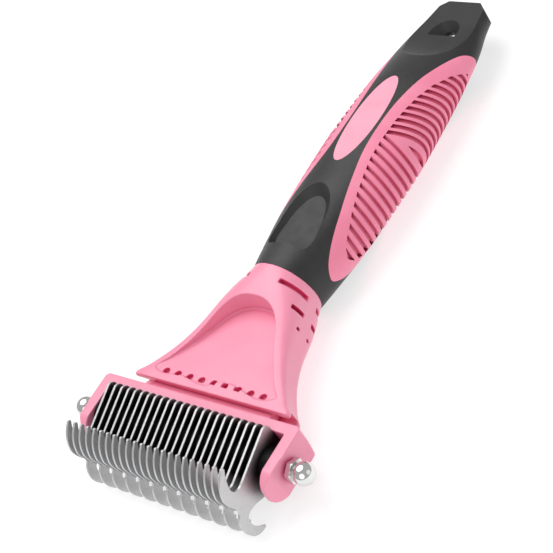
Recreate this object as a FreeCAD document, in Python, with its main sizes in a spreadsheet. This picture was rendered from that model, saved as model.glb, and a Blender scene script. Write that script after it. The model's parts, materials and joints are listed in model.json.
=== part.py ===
import FreeCAD, Part
import math
import os
import Sketcher

# Undercoat rake: a row of hooked steel plates on a cross axle, held in a plastic yoke on a bell-shaped
# neck, with a flattened oval handle. Tool frame: X across the head, Y from the head to the tail,
# Z square to the flat of the tool, the axle's middle at the origin. Every finished piece is then moved
# by the same placement, so that the tool lies on z = 0 with its box centred on the row's origin.

V = FreeCAD.Vector
doc = FreeCAD.newDocument("undercoat_rake")
sheet = doc.addObject("Spreadsheet::Sheet", "dims")

CELLS = [
    ("lift", 13.1), ("origin_back", 81.24),
    ("blade_pitch", 3.08), ("blade_thick", 0.8), ("rod_radius", 2.0), ("rod_half", 46.6), ("rod_play", 0.05),
    ("spacer_radius", 7.2), ("bush_radius", 5.6), ("bush_gap", 0.15),
    ("arm_inner", 38.4), ("arm_outer", 42.3), ("arm_ledge", 0.35), ("yoke_half_height", 6.0),
    ("beam_front", 7.6), ("beam_back", 11.3), ("tongue_half_height", 1.9),
    ("tongue_half_width", 26.0), ("tongue_back", 21.0),
    ("ball_centre", 48.0), ("ball_radius", 3.7), ("nut_start", 42.5), ("nut_stem_radius", 2.4),
    ("nut_hex_corner", 4.0), ("nut_hex_start", 43.6), ("nut_hex_length", 1.6), ("nut_bore_end", 47.0),
    ("flange_front", 14.3), ("collar_back", 59.5), ("collar_radius", 12.6), ("spigot_radius", 6.0),
    ("spigot_back", 84.0), ("handle_half_height", 12.95), ("handle_half_width", 18.8), ("tail_end", 182.9),
    ("grip_depth", 2.6), ("grip_inner_edge", 6.3), ("groove_depth", 1.3), ("groove_breadth", 1.6),
    ("inlay_depth", 1.6), ("pad_thick", 1.0),
    ("hang_y", 168.6), ("hang_radius", 2.6), ("hang_land", 0.8), ("hang_mouth", 6.2), ("hang_top", 4.3),
]
for row, (word, value) in enumerate(CELLS, start=1):
    sheet.set("A%d" % row, word)
    sheet.set("B%d" % row, "%g" % value)
    sheet.setAlias("B%d" % row, word)
doc.recompute()


def dim(word):
    return float(getattr(sheet, word))


# ---------------------------------------------------------------------------------------------------
# small helpers
# ---------------------------------------------------------------------------------------------------

PLANES = {
    "XY": FreeCAD.Rotation(),
    "XZ": FreeCAD.Rotation(V(1, 0, 0), 90),
    "YZ": FreeCAD.Rotation(V(0, 1, 0), V(0, 0, 1), V(1, 0, 0), "XYZ"),
}
finished = []


def feature(kind, name, **cells):
    obj = doc.addObject(kind, name)
    for prop, expression in cells.items():
        obj.setExpression(prop.replace("__", "."), expression)
    return obj


def plain(name, shape):
    obj = doc.addObject("Part::Feature", name)
    obj.Shape = shape
    return obj


def finish(obj, label, x_expression=None):
    """Name a finished piece and move it from the tool frame into the row frame."""
    obj.Label = label
    if obj.TypeId == "Part::Feature":
        obj.Placement = FreeCAD.Placement(V(0, -dim("origin_back"), dim("lift")), FreeCAD.Rotation())
    else:
        if x_expression:
            obj.setExpression("Placement.Base.x", x_expression)
        obj.setExpression("Placement.Base.y", "-dims.origin_back")
        obj.setExpression("Placement.Base.z", "dims.lift")
    finished.append(obj)
    return obj


def sketch(name, plane, path, circles=()):
    """A closed sketch on one of the tool planes. path is a list of points; ('arc', middle, end) bends."""
    sk = doc.addObject("Sketcher::SketchObject", name)
    sk.Placement = FreeCAD.Placement(V(0, 0, 0), PLANES[plane])
    here = path[0]
    for step in list(path[1:]) + [path[0]]:
        if step[0] == "arc":
            sk.addGeometry(Part.Arc(V(here[0], here[1], 0), V(step[1][0], step[1][1], 0),
                                    V(step[2][0], step[2][1], 0)), False)
            here = step[2]
        else:
            if math.dist(here, step) > 1e-6:
                sk.addGeometry(Part.LineSegment(V(here[0], here[1], 0), V(step[0], step[1], 0)), False)
            here = step
    for cx, cy, radius in circles:
        sk.addGeometry(Part.Circle(V(cx, cy, 0), V(0, 0, 1), radius), False)
    sk.Visibility = False
    return sk


def extrude(name, base, length, symmetric=True):
    ext = doc.addObject("Part::Extrusion", name)
    ext.Base = base
    ext.DirMode = "Normal"
    ext.Solid = True
    ext.Symmetric = symmetric
    if isinstance(length, str):
        ext.setExpression("LengthFwd", length)
    else:
        ext.LengthFwd = length
    return ext


def cylinder_x(name, radius, length, start):
    """A cylinder along +X from the plane x = start; every size is an expression."""
    cyl = feature("Part::Cylinder", name, Radius=radius, Height=length)
    cyl.Placement = FreeCAD.Placement(V(0, 0, 0), FreeCAD.Rotation(V(0, 1, 0), 90))
    cyl.setExpression("Placement.Base.x", start)
    return cyl


def boolean(kind, name, *parts):
    obj = doc.addObject("Part::" + kind, name)
    if kind == "Cut":
        obj.Base, obj.Tool = parts
    else:
        obj.Shapes = list(parts)
    return obj


def smooth_loop(points):
    curve = Part.BSplineCurve()
    curve.interpolate(Points=points, PeriodicFlag=True)
    return Part.Wire([curve.toShape()])


def blend(stations, y):
    """Read a table of (y, value) pairs by straight lines between its rows."""
    for (y0, v0), (y1, v1) in zip(stations, stations[1:]):
        if y <= y1:
            return v0 + (v1 - v0) * max(0.0, (y - y0) / (y1 - y0))
    return stations[-1][1]


# ---------------------------------------------------------------------------------------------------
# hooked plates: a body behind the axle, a fine tooth that curls up and, on every other plate, a heavy
# tooth that curls down; outlines are (y, z)
# ---------------------------------------------------------------------------------------------------

CORNER, HIP = (7.4, 7.7), (5.2, 10.15)
fine_tooth = [
    (CORNER[0], -CORNER[1]), CORNER,
    ("arc", (6.95, 9.5), HIP),
    (-11.62, 5.26), ("arc", (-14.55, 6.4), (-14.95, 8.3)),
    ("arc", (-14.05, 11.4), (-12.3, 14.5)), ("arc", (-12.35, 15.45), (-13.4, 15.15)),
    ("arc", (-16.9, 12.0), (-18.95, 7.2)), ("arc", (-18.65, 4.6), (-17.5, 1.2)),
]
heavy_tooth = [
    ("arc", (-17.65, -0.3), (-18.6, -1.5)), ("arc", (-20.35, -5.3), (-19.75, -9.4)),
    ("arc", (-18.15, -11.9), (-15.2, -dim("lift") + 0.08)),
    ("arc", (-14.3, -dim("lift") + 0.06), (-13.95, -12.6)),
    ("arc", (-16.3, -9.6), (-17.0, -6.6)), ("arc", (-16.2, -4.45), (-14.1, -3.85)),
]
plain_front = [("arc", (-16.6, -1.9), (-14.1, -3.85))]
underside = [("arc", (-11.8, -4.25), (-9.5, -5.25)), (HIP[0], -HIP[1]),
             ("arc", (6.95, -9.5), (CORNER[0], -CORNER[1]))]

rod_hole = [(0, 0, dim("rod_radius") + dim("rod_play"))]
outlines = {
    "double": fine_tooth + heavy_tooth + underside,
    "single": fine_tooth + plain_front + underside,
}
for index in range(23):
    kind = "double" if index % 2 == 0 else "single"
    name = "blade_%s_%02d" % (kind, index // 2 + 1)
    outline = sketch("outline_" + name, "YZ", outlines[kind], rod_hole)
    blade = extrude("plate_" + name, outline, "dims.blade_thick")
    finish(blade, name, "%d * dims.blade_pitch" % (index - 11))

# ---------------------------------------------------------------------------------------------------
# axle rod, spacer discs between the plates, end bushes, ball nuts
# ---------------------------------------------------------------------------------------------------

rod = cylinder_x("axle_rod_solid", "dims.rod_radius", "2 * dims.rod_half", "-dims.rod_half")
finish(rod, "axle_rod", "-dims.rod_half")

bore = dim("rod_radius") + dim("rod_play")
width = dim("blade_pitch") - dim("blade_thick")
discs = []
for index in range(22):
    middle = (index - 10.5) * dim("blade_pitch")
    start = V(middle - width / 2, 0, 0)
    disc = Part.makeCylinder(dim("spacer_radius"), width, start, V(1, 0, 0))
    discs.append(disc.cut(Part.makeCylinder(bore, width, start, V(1, 0, 0))))
finish(plain("spacer_discs", Part.makeCompound(discs)), "blade_spacers")

stack_end = "(11 * dims.blade_pitch + dims.blade_thick / 2)"
bush_length = "(dims.arm_inner - dims.bush_gap - %s)" % stack_end
for side, start in (("right", stack_end), ("left", "-(dims.arm_inner - dims.bush_gap)")):
    disc = cylinder_x("bush_disc_" + side, "dims.bush_radius", bush_length, start)
    hole = cylinder_x("bush_hole_" + side, "dims.rod_radius + dims.rod_play", bush_length, start)
    finish(boolean("Cut", "bush_" + side, disc, hole), "end_bush_" + side)

for side, sign in (("right", 1), ("left", -1)):
    # each ball's seam is turned to its outer side, clear of the stem
    ball = feature("Part::Sphere", "ball_" + side, Radius="dims.ball_radius")
    ball.Placement = FreeCAD.Placement(V(0, 0, 0), FreeCAD.Rotation(V(0, 0, 1), 90 - 90 * sign))
    ball.setExpression("Placement.Base.x", "%d * dims.ball_centre" % sign)
    hexagon = feature("Part::Prism", "nut_hex_" + side, Circumradius="dims.nut_hex_corner",
                      Height="dims.nut_hex_length")
    hexagon.Polygon = 6
    hexagon.Placement = FreeCAD.Placement(V(0, 0, 0), FreeCAD.Rotation(V(0, 1, 0), 90))
    low = "dims.nut_hex_start" if sign > 0 else "-dims.nut_hex_start - dims.nut_hex_length"
    hexagon.setExpression("Placement.Base.x", low)
    stem = cylinder_x("nut_stem_" + side, "dims.nut_stem_radius", "dims.ball_centre - dims.nut_start",
                      "dims.nut_start" if sign > 0 else "-dims.ball_centre")
    solid = boolean("MultiFuse", "nut_solid_" + side, ball, hexagon, stem)
    hole = cylinder_x("nut_bore_" + side, "dims.rod_radius + dims.rod_play",
                      "dims.nut_bore_end - dims.nut_start + 1",
                      "dims.nut_start - 1" if sign > 0 else "-dims.nut_bore_end")
    finish(boolean("Cut", "nut_" + side, solid, hole), "ball_nut_" + side)

# ---------------------------------------------------------------------------------------------------
# yoke: a beam behind the plates with a flat-sided arm at each end. The arms end in rounded noses that
# taper inward, and a shallow ledge crosses each outer face beside the nut. A tongue plugs into the neck
# ---------------------------------------------------------------------------------------------------

inn, out = dim("arm_inner"), dim("arm_outer") + dim("arm_ledge")
top, back, front = dim("yoke_half_height"), dim("beam_back"), dim("beam_front")
nose = -10.1
half_plan = [(inn, front), (inn, nose), (out - 2.3, nose), (out, -4.9), (out, back - 1.2), (out - 1.2, back)]
plan = half_plan + [(-x, y) for x, y in reversed(half_plan)]
side_view = [(back, top), (-5.2, top), ("arc", (-8.5, 3.8), (-10.0, -0.6)),
             ("arc", (-9.2, -4.8), (-6.4, -top)), (8.2, -top), ("arc", (9.2, -5.7), (9.6, -4.9))]
face_front = [(-20, -9), (-20, 9), (-0.4, 9), (-0.4, top), (2.8, 0), (-0.4, -top), (-0.4, -9)]
yoke_blank = boolean("MultiCommon", "yoke_blank",
                     extrude("yoke_plan", sketch("yoke_plan_outline", "XY", plan), 4 * top),
                     extrude("yoke_side", sketch("yoke_side_outline", "YZ", side_view), 4 * out))
tongue = feature("Part::Box", "yoke_tongue", Length="2 * dims.tongue_half_width",
                 Width="dims.tongue_back - dims.beam_back + 2.5", Height="2 * dims.tongue_half_height",
                 Placement__Base__x="-dims.tongue_half_width", Placement__Base__y="dims.beam_back - 2.5",
                 Placement__Base__z="-dims.tongue_half_height")
shaves = []
for side, start in (("right", "dims.arm_outer"), ("left", "-dims.arm_outer - 10")):
    shave = extrude("yoke_shave_" + side, sketch("yoke_shave_outline_" + side, "YZ", face_front), 10, False)
    shave.setExpression("Placement.Base.x", start)
    shaves.append(shave)
shaves.append(cylinder_x("yoke_bore", "dims.rod_radius + dims.rod_play", "120", "-60"))
yoke_solid = boolean("MultiFuse", "yoke_solid", yoke_blank, tongue)
finish(boolean("Cut", "yoke", yoke_solid, boolean("MultiFuse", "yoke_holes", *shaves)), "head_yoke")

# ---------------------------------------------------------------------------------------------------
# neck: wide and flat at the flange, round at the collar; a dished recess with a row of small windows
# on both faces, curved vents in the collar, a slot for the yoke's tongue and a spigot for the handle
# ---------------------------------------------------------------------------------------------------

# (y, half width, half height, squareness of the section)
BELL = [
    (dim("flange_front"), 33.4, 4.7, 11), (15.1, 33.8, 4.8, 11), (17.0, 32.2, 4.9, 10), (21.0, 28.6, 5.1, 9),
    (26.0, 25.0, 5.6, 7.5), (32.0, 21.6, 6.6, 6), (38.5, 19.0, 8.1, 4.6), (45.0, 17.2, 9.8, 3.6),
    (51.0, 15.3, 11.3, 2.8), (56.0, 13.7, 12.2, 2.2),
    (dim("collar_back"), dim("collar_radius"), dim("collar_radius"), 2.0),
]


def bell_section(y, half_w, half_h, square):
    points = []
    for step in range(48):
        angle = 2 * math.pi * step / 48
        c, s = math.cos(angle), math.sin(angle)
        # points are spread by a fixed angle on the section's own box, so corners stay sharp enough
        size = (abs(c) ** square + abs(s) ** square) ** (-1.0 / square)
        points.append(V(half_w * size * c, y, half_h * size * s))
    return smooth_loop(points)


bell = Part.makeLoft([bell_section(*row) for row in BELL], True, False)
spigot = Part.makeCylinder(dim("spigot_radius"), dim("spigot_back") - dim("collar_back") + 2,
                           V(0, dim("collar_back") - 2, 0), V(0, 1, 0))
neck = bell.fuse(spigot)

DISH = [(0, 17.6), (14.0, 17.7), (25.5, 17.8), (26.6, 18.6), (25.2, 20.4), (20.6, 26.0), (16.9, 32.0),
        (14.2, 38.0), (11.4, 43.2), (7.2, 46.9), (0, 48.4)]
dish_points = DISH + [(-x, y) for x, y in reversed(DISH[1:-1])]
cutters = []
for face in (1, -1):
    floor = [V(x, y, face * (4.35 - 0.05 * (y - 17.6))) for x, y in dish_points]
    loop = smooth_loop(floor)
    cutters.append(Part.Face(loop).extrude(V(0, 0, face * 20)))
    for index in range(-4, 5):
        x = index * 5.33
        window = Part.Wire([
            Part.LineSegment(V(x - 1.35, 17.3, 0), V(x + 1.35, 17.3, 0)).toShape(),
            Part.LineSegment(V(x + 1.35, 17.3, 0), V(x + 1.35, 18.3, 0)).toShape(),
            Part.Arc(V(x + 1.35, 18.3, 0), V(x, 19.3, 0), V(x - 1.35, 18.3, 0)).toShape(),
            Part.LineSegment(V(x - 1.35, 18.3, 0), V(x - 1.35, 17.3, 0)).toShape()])
        prism = Part.Face(window).extrude(V(0, 0, 4))
        prism.translate(V(0, 0, 2.6 if face > 0 else -6.6))
        cutters.append(prism)

# slot for the yoke's tongue, and the shadow gap between the flange's two lips
half_t, half_w = dim("tongue_half_height"), dim("tongue_half_width")
cutters.append(Part.makeBox(2 * half_w, dim("tongue_back") - 10, 2 * half_t, V(-half_w, 10, -half_t)))
cutters.append(Part.makeBox(90, 16.4 - 10, 2 * 2.3, V(-45, 10, -2.3)))

# collar vents: three rows on each of the four flanks, each row shorter than the one behind it
VENTS = [(55.2, 1.7, 11, 60), (49.2, 1.5, 9, 29), (44.0, 1.0, 8, 13)]
for middle, breadth, low, high in VENTS:
    ring = Part.makeCylinder(30, breadth, V(0, middle - breadth / 2, 0), V(0, 1, 0))
    half_w = blend([(r[0], r[1]) for r in BELL], middle) - 2.2
    half_h = blend([(r[0], r[2]) for r in BELL], middle) - 2.2
    core = Part.makeCylinder(1, breadth + 2, V(0, middle - breadth / 2 - 1, 0), V(0, 1, 0))
    stretch = FreeCAD.Matrix()
    stretch.scale(half_w, 1, half_h)
    ring = ring.cut(core.transformGeometry(stretch))
    for quarter in range(4):
        a0, a1 = [math.radians(a) for a in (low, high)]
        if quarter % 2:
            a0, a1 = math.pi - a1, math.pi - a0
        if quarter > 1:
            a0, a1 = -a1, -a0
        reach = 40
        wedge = Part.makePolygon([V(0, 0, 0), V(reach * math.cos(a0), 0, reach * math.sin(a0)),
                                  V(reach * math.cos(a1), 0, reach * math.sin(a1)), V(0, 0, 0)])
        block = Part.Face(wedge).extrude(V(0, 100, 0))
        cutters.append(ring.common(block))
neck = neck.cut(cutters)
finish(plain("neck_solid", neck), "neck")

# ---------------------------------------------------------------------------------------------------
# handle: an oval body that widens from the collar, then thins to a flat tail with a hang hole
# ---------------------------------------------------------------------------------------------------

full_a, full_b, round_r = dim("handle_half_width"), dim("handle_half_height"), dim("collar_radius")
# (y, half width, half height)
OVAL = [
    (dim("collar_back"), round_r, round_r), (66.0, 14.3, round_r), (73.0, 15.7, round_r + 0.05),
    (81.0, full_a - 1.8, round_r + 0.2), (92.0, full_a - 0.8, full_b), (104.0, full_a - 0.2, full_b),
    (112.0, full_a, full_b), (122.0, full_a - 0.3, full_b - 0.1), (131.0, full_a - 0.8, full_b - 0.5),
    (139.0, full_a - 1.2, full_b - 1.2), (146.0, full_a - 1.5, full_b - 2.3),
    (153.0, full_a - 2.0, full_b - 3.8), (160.0, full_a - 2.7, full_b - 5.2),
    (167.0, full_a - 4.2, full_b - 5.9), (174.0, full_a - 6.3, full_b - 6.2),
    (dim("tail_end") + 1.5, full_a - 8.8, full_b - 6.4),
]


def oval_loft(inset):
    loops = []
    for y, a, b in OVAL:
        a, b = a - inset, b - inset
        if a - b < 0.01:
            a = b + 0.01
        ellipse = Part.Ellipse(V(0, y, 0), a, b)
        ellipse.Axis = V(0, 1, 0)
        ellipse.XAxis = V(1, 0, 0)
        loops.append(Part.Wire([ellipse.toShape()]))
    return Part.makeLoft(loops, True, False)


outer = oval_loft(0.0)

# the tail: two scooped flats and a chamfered end
SCOOP = [(151.5, 9.9), (154.5, 8.0), (158.0, 6.5), (162.5, 5.1), (168.0, 4.0), (175.0, 3.45),
         (dim("tail_end") + 4, 3.05)]
tail_cuts = []
for face in (1, -1):
    curve = Part.BSplineCurve()
    curve.interpolate([V(-40, y, face * z) for y, z in SCOOP])
    a, b = curve.StartPoint, curve.EndPoint
    over = V(-40, b.y, face * 30)
    edges = [curve.toShape(), Part.LineSegment(b, over).toShape(),
             Part.LineSegment(over, V(-40, a.y - 4, face * 30)).toShape(),
             Part.LineSegment(V(-40, a.y - 4, face * 30), a).toShape()]
    tail_cuts.append(Part.Face(Part.Wire(edges)).extrude(V(80, 0, 0)))
end = dim("tail_end")
for sign in (1, -1):
    corner = Part.makePolygon([V(sign * 6.7, end, -30), V(sign * 12.2, end - 5.0, -30),
                               V(sign * 40, end - 5.0, -30), V(sign * 40, end, -30),
                               V(sign * 6.7, end, -30)])
    tail_cuts.append(Part.Face(corner).extrude(V(0, 0, 60)))
tail_cuts.append(Part.makeBox(80, 20, 60, V(-40, end, -30)))
body = outer.cut(tail_cuts)

# side grips: a lens-shaped panel on each side, with two families of curved grooves
LENS = [(65.9, 0), (68.0, 3.6), (71.5, 5.9), (77.5, 8.1), (84.0, 9.5), (91.0, 10.6), (99.0, 11.4),
        (107.0, 11.9), (116.0, 12.05), (126.0, 11.75), (135.0, 10.9), (143.0, 9.5), (150.0, 7.5),
        (155.5, 5.5), (159.0, 3.4), (160.4, 0)]
lens_points = [V(0, y, z) for y, z in LENS] + [V(0, y, -z) for y, z in reversed(LENS[1:-1])]
lens = Part.Face(smooth_loop(lens_points))
shell = outer.cut(oval_loft(dim("grip_depth")))


# grooves stop at this line in the side view, (y, z)
MARGIN = [(74.2, 0), (76.0, 3.0), (79.1, 5.0), (86.6, 7.8), (93.7, 9.3), (100.8, 10.2), (107.3, 10.75),
          (114.5, 10.85), (122.8, 10.55), (128.6, 10.0), (135.1, 9.1), (141.9, 7.4), (148.4, 4.7),
          (151.6, 2.4), (154.0, 0)]
field = Part.Face(Part.makePolygon([V(0, y, z) for y, z in MARGIN]
                                   + [V(0, y, -z) for y, z in reversed(MARGIN[:-1])])).extrude(V(60, 0, 0))


def groove(y_middle, bend, breadth, reach=11.5):
    """A strip of even breadth in the side view, bowed so that y = y_middle + bend * z * z."""
    y_end = y_middle + bend * reach * reach
    shift = breadth / 2
    arcs = [Part.Arc(V(0, y_end + d, reach), V(0, y_middle + d, 0), V(0, y_end + d, -reach)).toShape()
            for d in (-shift, shift)]
    caps = [Part.LineSegment(V(0, y_end - shift, z), V(0, y_end + shift, z)).toShape()
            for z in (reach, -reach)]
    wire = Part.Wire(Part.__sortEdges__(arcs + caps))
    return Part.Face(wire).extrude(V(60, 0, 0))


# (first middle, pitch, bend): the front family bows towards the head, the rear one towards the tail
grooves = []
for first, pitch, bend in ((75.2, 3.12, 0.030), (121.4, 2.72, -0.031)):
    for step in range(13):
        grooves.append(groove(first + pitch * step, bend, dim("groove_breadth")).common(field))
crease = Part.Face(Part.Wire([
    Part.Arc(V(0, 117.3, 5.6), V(0, 116.1, 0), V(0, 117.3, -5.6)).toShape(),
    Part.Arc(V(0, 117.3, -5.6), V(0, 118.3, 0), V(0, 117.3, 5.6)).toShape()])).extrude(V(60, 0, 0))
grooves.append(crease)
groove_core = oval_loft(dim("groove_depth"))
groove_shell = outer.cut(groove_core)
strips = [strip.common(groove_shell) for strip in grooves]
mirror = lambda shape: shape.mirror(V(0, 0, 0), V(1, 0, 0))
grip_blank = lens.extrude(V(60, 0, 0)).common(shell)
# the panel stops short of the top and bottom faces, outside the inlays
grip_blank = grip_blank.common(Part.makeBox(60, 200, 60, V(dim("grip_inner_edge"), 0, -30)))
grip = grip_blank.cut(strips)
finish(plain("grip_solid_right", grip), "side_grip_right")
finish(plain("grip_solid_left", mirror(grip)), "side_grip_left")
body = body.cut([grip_blank, mirror(grip_blank)])

# oval inlays on both faces
inlay_ring = Part.Ellipse(V(0, 121.6, 0), 19.2, 5.7)
inlay_ring.XAxis = V(0, 1, 0)
inlay = Part.Face(Part.Wire([inlay_ring.toShape()])).extrude(V(0, 0, 30))
inlay = inlay.common(outer).cut(oval_loft(dim("inlay_depth")))
flip = lambda shape: shape.mirror(V(0, 0, 0), V(0, 0, 1))
finish(plain("inlay_solid_top", inlay), "oval_inlay_top")
finish(plain("inlay_solid_bottom", flip(inlay)), "oval_inlay_bottom")
body = body.cut([inlay, flip(inlay)])

# thumb rests on both faces: a pocket with a steep wall in front and a sloping one behind. Its rim lies
# on the handle's own oval surface, and its flat floor is a pad that rises gently towards the tail
RIM = [(0, 67.8), (4.6, 67.8), (7.8, 68.3), (8.75, 70.2), (8.75, 75.5), (8.4, 81.5), (7.0, 86.8),
       (4.3, 90.9), (0, 92.8)]
PAD = [(0, 69.2), (4.4, 69.3), (6.9, 69.7), (7.65, 71.4), (7.3, 75.5), (6.6, 80.3), (5.4, 84.4),
       (3.2, 87.9), (0, 89.4)]


def oval_height(x, y):
    """Height of the handle's surface above its middle plane."""
    a, b = blend([(r[0], r[1]) for r in OVAL], y), blend([(r[0], r[2]) for r in OVAL], y)
    return b * math.sqrt(1 - (x / a) ** 2)


pad_height = lambda y: 8.65 + 0.0755 * (y - 70.2)
ring = lambda rows: rows + [(-x, y) for x, y in reversed(rows[1:-1])]
low_loop = smooth_loop([V(x, y, pad_height(y)) for x, y in ring(PAD)])
rim_loop = smooth_loop([V(x, y, oval_height(x, y)) for x, y in ring(RIM)])
clear_loop = smooth_loop([V(x, y, 18) for x, y in ring(RIM)])
scoop = Part.makeLoft([low_loop, rim_loop, clear_loop], True, True)
pad_well = Part.Face(low_loop).extrude(V(0, 0, -dim("pad_thick")))
pad = pad_well.common(outer)
finish(plain("pad_solid_top", pad), "thumb_pad_top")
finish(plain("pad_solid_bottom", flip(pad)), "thumb_pad_bottom")
body = body.cut([scoop, flip(scoop), pad_well, flip(pad_well)])

# hang hole: a short straight land with a cone from each face; socket for the neck's spigot
land, mouth, hang_y = dim("hang_land"), dim("hang_mouth"), dim("hang_y")
hang = Part.makeCylinder(dim("hang_radius"), 20, V(0, hang_y, -10))
cone = Part.makeCone(dim("hang_radius"), mouth, dim("hang_top") - land, V(0, hang_y, land), V(0, 0, 1))
socket = Part.makeCylinder(dim("spigot_radius"), dim("spigot_back") - dim("collar_back"),
                           V(0, dim("collar_back"), 0), V(0, 1, 0))
body = body.cut([hang, cone, flip(cone), socket])
finish(plain("handle_solid", body), "handle_body")

# ---------------------------------------------------------------------------------------------------
# check every piece and write it out
# ---------------------------------------------------------------------------------------------------

doc.recompute()
for obj in doc.Objects:
    if any(word in obj.State for word in ("Invalid", "Error")):
        raise RuntimeError("%s is in state %s" % (obj.Name, obj.State))
os.makedirs("parts", exist_ok=True)
box = FreeCAD.BoundBox()
for obj in finished:
    shape = obj.Shape
    if shape.isNull() or not shape.isValid() or not shape.Solids:
        raise RuntimeError("%s has a bad shape" % obj.Label)
    print("%-20s solids %2d volume %9.2f" % (obj.Label, len(shape.Solids), shape.Volume))
    box.add(shape.BoundBox)
    shape.exportStep("parts/%s.step" % obj.Label)
print("box x %.2f..%.2f y %.2f..%.2f z %.2f..%.2f"
      % (box.XMin, box.XMax, box.YMin, box.YMax, box.ZMin, box.ZMax))
print("pieces", len(finished))
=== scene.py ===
import json

import bpy
from mathutils import Matrix, Vector

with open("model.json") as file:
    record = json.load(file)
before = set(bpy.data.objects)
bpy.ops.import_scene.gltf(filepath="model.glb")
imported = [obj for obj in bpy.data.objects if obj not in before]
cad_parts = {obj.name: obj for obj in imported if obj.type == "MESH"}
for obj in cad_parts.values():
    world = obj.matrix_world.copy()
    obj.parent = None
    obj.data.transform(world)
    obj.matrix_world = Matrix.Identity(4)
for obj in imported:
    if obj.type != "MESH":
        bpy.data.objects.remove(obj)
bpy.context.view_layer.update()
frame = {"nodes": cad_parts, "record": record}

nodes = frame["nodes"]


# ---------------------------------------------------------------------------------------------------
# materials
# ---------------------------------------------------------------------------------------------------

def srgb(r, g, b):
    return tuple(((c / 255) / 12.92 if c / 255 <= 0.04045 else ((c / 255 + 0.055) / 1.055) ** 2.4)
                 for c in (r, g, b)) + (1.0,)


OCCLUSION_SHADE_RAYS = 8


class Mat:
    """A small builder of node materials. Coordinates are the object's own, in metres."""

    def __init__(self, name, roughness=0.5, metallic=0.0, coat=0.0, coat_roughness=0.1, specular=0.5,
                 sheen=0.0):
        self.mat = bpy.data.materials.new(name)
        self.mat.use_nodes = True
        self.tree = self.mat.node_tree
        self.bsdf = self.tree.nodes["Principled BSDF"]
        for socket, value in (("Roughness", roughness), ("Metallic", metallic), ("Coat Weight", coat),
                              ("Coat Roughness", coat_roughness), ("Specular IOR Level", specular),
                              ("Sheen Weight", sheen)):
            self.bsdf.inputs[socket].default_value = value
        self.coords = self.tree.nodes.new("ShaderNodeTexCoord").outputs["Object"]

    def link(self, a, b):
        self.tree.links.new(a, b)

    def scaled(self, scale):
        node = self.tree.nodes.new("ShaderNodeMapping")
        node.inputs["Scale"].default_value = scale if hasattr(scale, "__len__") else (scale,) * 3
        self.link(self.coords, node.inputs["Vector"])
        return node.outputs["Vector"]

    def noise(self, scale, detail=3.0, roughness=0.55):
        node = self.tree.nodes.new("ShaderNodeTexNoise")
        node.inputs["Scale"].default_value = 1.0
        node.inputs["Detail"].default_value = detail
        node.inputs["Roughness"].default_value = roughness
        self.link(self.scaled(scale), node.inputs["Vector"])
        return node.outputs["Fac"]

    def ramp(self, fac, stops):
        node = self.tree.nodes.new("ShaderNodeValToRGB")
        elements = node.color_ramp.elements
        while len(elements) < len(stops):
            elements.new(0.5)
        for element, (at, colour) in zip(elements, stops):
            element.position, element.color = at, colour
        self.link(fac, node.inputs["Fac"])
        return node.outputs["Color"]

    def colour(self, fac, low, high, start=0.35, end=0.65):
        self.link(self.ramp(fac, [(start, low), (end, high)]), self.bsdf.inputs["Base Color"])

    def ahead_of(self, y_clear, y_full):
        """1 where the object's own y is ahead of y_full, 0 behind y_clear, in metres."""
        split = self.tree.nodes.new("ShaderNodeSeparateXYZ")
        self.link(self.coords, split.inputs[0])
        span = self.tree.nodes.new("ShaderNodeMapRange")
        span.inputs["From Min"].default_value = y_clear
        span.inputs["From Max"].default_value = y_full
        self.link(split.outputs["Y"], span.inputs["Value"])
        return span.outputs["Result"]

    def paint_occlusion_shade(self, shade_colour, distance, low=0.25, high=0.75, spare=None):
        """Paint shade into the base colour, mixing it towards the shade colour where less than high
        of the sky within distance is open, and all the way below low. Nothing changes where spare is
        1."""
        source = self.bsdf.inputs["Base Color"].links[0].from_socket
        shade = self.tree.nodes.new("ShaderNodeAmbientOcclusion")
        shade.samples = OCCLUSION_SHADE_RAYS
        shade.inputs["Distance"].default_value = distance
        span = self.tree.nodes.new("ShaderNodeMapRange")
        span.inputs["From Min"].default_value = low
        span.inputs["From Max"].default_value = high
        self.link(shade.outputs["AO"], span.inputs["Value"])
        mix = self.tree.nodes.new("ShaderNodeMix")
        mix.data_type = "RGBA"
        closed, opened = [i for i in mix.inputs if i.type == "RGBA"]
        closed.default_value = shade_colour
        self.link(source, opened)
        amount = span.outputs["Result"]
        if spare:
            larger = self.tree.nodes.new("ShaderNodeMath")
            larger.operation = "MAXIMUM"
            self.link(amount, larger.inputs[0])
            self.link(spare, larger.inputs[1])
            amount = larger.outputs[0]
        self.link(amount, mix.inputs["Factor"])
        result = [o for o in mix.outputs if o.type == "RGBA"][0]
        self.link(result, self.bsdf.inputs["Base Color"])

    def rough(self, fac, low, high):
        node = self.tree.nodes.new("ShaderNodeMapRange")
        node.inputs["To Min"].default_value = low
        node.inputs["To Max"].default_value = high
        self.link(fac, node.inputs["Value"])
        self.link(node.outputs["Result"], self.bsdf.inputs["Roughness"])

    def bump(self, fac, distance, strength=1.0):
        node = self.tree.nodes.new("ShaderNodeBump")
        node.inputs["Strength"].default_value = strength
        node.inputs["Distance"].default_value = distance
        self.link(fac, node.inputs["Height"])
        self.link(node.outputs["Normal"], self.bsdf.inputs["Normal"])


def pink_plastic():
    m = Mat("pink_plastic", coat=0.25, coat_roughness=0.25)
    m.colour(m.noise(60), srgb(241, 145, 172), srgb(244, 152, 178))
    # painted shade: a darker, deeper pink in the creases and hollows of the moulded pink pieces
    m.paint_occlusion_shade(srgb(224, 70, 122), 0.004)
    m.rough(m.noise(400), 0.34, 0.44)
    m.bump(m.noise(5000, 2), 0.00002, 0.35)
    return m.mat


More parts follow.
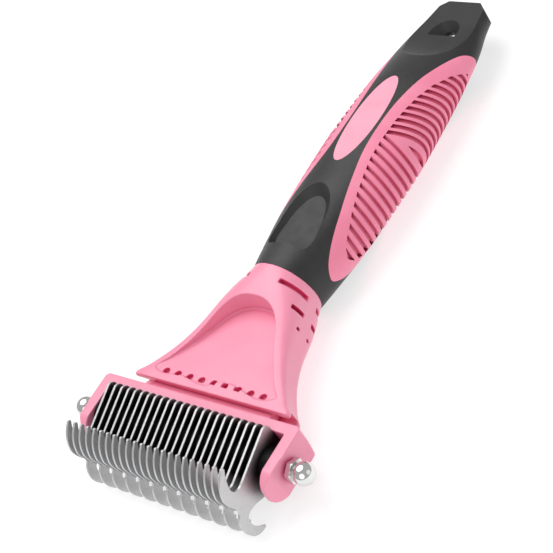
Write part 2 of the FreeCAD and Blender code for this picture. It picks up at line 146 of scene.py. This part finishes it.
def pink_grip():
    m = Mat("pink_grip", sheen=0.12)
    m.colour(m.noise(80), srgb(240, 132, 162), srgb(243, 142, 170))
    # painted shade: a dark, deep pink down in the grooves of the grip
    m.paint_occlusion_shade(srgb(191, 34, 87), 0.002)
    m.rough(m.noise(500), 0.5, 0.62)
    m.bump(m.noise(7000, 2), 0.00003, 0.5)
    return m.mat


def pink_inlay():
    m = Mat("pink_inlay")
    m.colour(m.noise(120), srgb(247, 162, 184), srgb(249, 169, 190))
    m.rough(m.noise(700), 0.48, 0.58)
    m.bump(m.noise(7000, 2), 0.00003, 0.4)
    return m.mat


def black_handle():
    m = Mat("black_handle")
    m.colour(m.noise(150), srgb(30, 30, 30), srgb(38, 38, 38))
    m.rough(m.noise(900), 0.4, 0.5)
    m.bump(m.noise(6500, 3), 0.00005, 0.6)
    return m.mat


def grey_pad():
    m = Mat("grey_pad")
    m.colour(m.noise(220), srgb(54, 54, 54), srgb(65, 65, 65))
    m.rough(m.noise(900), 0.55, 0.68)
    m.bump(m.noise(5500, 3), 0.00008, 0.8)
    return m.mat


def black_spacer():
    m = Mat("black_spacer", specular=0.15)
    m.colour(m.noise(300), srgb(6, 5, 6), srgb(11, 10, 11))
    m.rough(m.noise(900), 0.4, 0.55)
    return m.mat


def steel(name, low, high, rough_low, rough_high, grain, metallic=1.0):
    m = Mat(name, metallic=metallic)
    lines = m.noise(grain, 3, 0.6)
    m.colour(lines, low, high, 0.3, 0.7)
    m.rough(lines, rough_low, rough_high)
    m.bump(lines, 0.000008, 0.4)
    return m


# the gaps between the plates end here, and the teeth's open part starts here (object y, metres)
GAPS_END, TEETH_START = -0.0895, -0.0935


def blade_steel():
    m = steel("blade_steel", srgb(190, 190, 191), srgb(212, 212, 213), 0.36, 0.46, (900, 900, 6000),
              metallic=0.75)
    # painted shade: the steel in the narrow gaps between the plates is darkened to near black; the
    # teeth in front of them stay bright
    m.paint_occlusion_shade(srgb(26, 22, 23), 0.006, 0.45, 0.9, spare=m.ahead_of(GAPS_END, TEETH_START))
    return m


MATERIALS = {
    "pink_plastic": pink_plastic(), "pink_grip": pink_grip(), "pink_inlay": pink_inlay(),
    "black_handle": black_handle(), "grey_pad": grey_pad(), "black_spacer": black_spacer(),
    "blade_steel": blade_steel().mat,
    "rod_steel": steel("rod_steel", srgb(170, 170, 172), srgb(200, 200, 202), 0.25, 0.35,
                       (6000, 500, 500)).mat,
    "nut_chrome": steel("nut_chrome", srgb(216, 216, 214), srgb(228, 228, 226), 0.06, 0.12,
                        (300, 300, 300)).mat,
}


def coat(obj, slot_name):
    obj.data.materials.clear()
    obj.data.materials.append(MATERIALS[slot_name])


# moulded pieces get softened edges: (voxel in metres, smoothing passes)
SOFTENED = {"neck": (0.00025, 3), "head_yoke": (0.00025, 7)}


def soften(obj, voxel, passes):
    remesh = obj.modifiers.new("even_mesh", "REMESH")
    remesh.mode, remesh.voxel_size, remesh.use_smooth_shade = "VOXEL", voxel, True
    smooth = obj.modifiers.new("soft_edges", "SMOOTH")
    smooth.factor, smooth.iterations = 0.5, passes


for entry in frame["record"]["subparts"]:
    coat(nodes[entry["node"]], entry["material_slot"])

for name, (voxel, passes) in SOFTENED.items():
    soften(nodes[name], voxel, passes)


# ---------------------------------------------------------------------------------------------------
# floor, light and camera
# ---------------------------------------------------------------------------------------------------

FLOOR_SIZE, FLOOR_GLOW = 8, 0.66
WORLD_STRENGTH = 0.5


def floor():
    bpy.ops.mesh.primitive_plane_add(size=FLOOR_SIZE, location=(0, 0, 0))
    obj = bpy.context.object
    obj.name = "floor"
    m = Mat("floor_paint", roughness=0.9, specular=0.1)
    m.colour(m.noise(3), srgb(176, 176, 176), srgb(180, 180, 180))
    m.bsdf.inputs["Emission Color"].default_value = (1, 1, 1, 1)
    m.bsdf.inputs["Emission Strength"].default_value = FLOOR_GLOW
    obj.data.materials.append(m.mat)


def area(name, position, size, power):
    """A round white light that points at the origin; size in metres, power in watts."""
    light = bpy.data.lights.new(name, "AREA")
    light.shape, light.size, light.energy = "DISK", size, power
    obj = bpy.data.objects.new(name, light)
    bpy.context.scene.collection.objects.link(obj)
    obj.location = position
    obj.rotation_euler = (-Vector(position)).to_track_quat("-Z", "Y").to_euler()


floor()
area("key_light", (-0.45, 0.15, 1.2), 1.3, 12)
area("front_fill", (0.5, -1.1, 0.7), 1.2, 3.6)
area("right_fill", (1.2, 0.3, 0.5), 0.9, 1.0)

world = bpy.data.worlds.new("studio")
world.use_nodes = True
background = world.node_tree.nodes["Background"]
background.inputs["Color"].default_value = (1, 1, 1, 1)
background.inputs["Strength"].default_value = WORLD_STRENGTH
bpy.context.scene.world = world

bpy.context.scene.view_settings.view_transform = "Standard"

camera = bpy.data.cameras.new("camera")
camera.sensor_width, camera.lens = 36.0, 117.2
camera.clip_start, camera.clip_end = 0.01, 20
eye = bpy.data.objects.new("camera", camera)
bpy.context.scene.collection.objects.link(eye)
# the camera's own axes, and its place in metres
right, up, back = (0.7241, 0.5084, -0.4661), (-0.1521, 0.7769, 0.6110), (0.6727, -0.3716, 0.6399)
place = (0.3837, -0.23444, 0.3848)
eye.matrix_world = Matrix([list(row) for row in zip(right, up, back, place)] + [[0, 0, 0, 1]])
bpy.context.scene.camera = eye
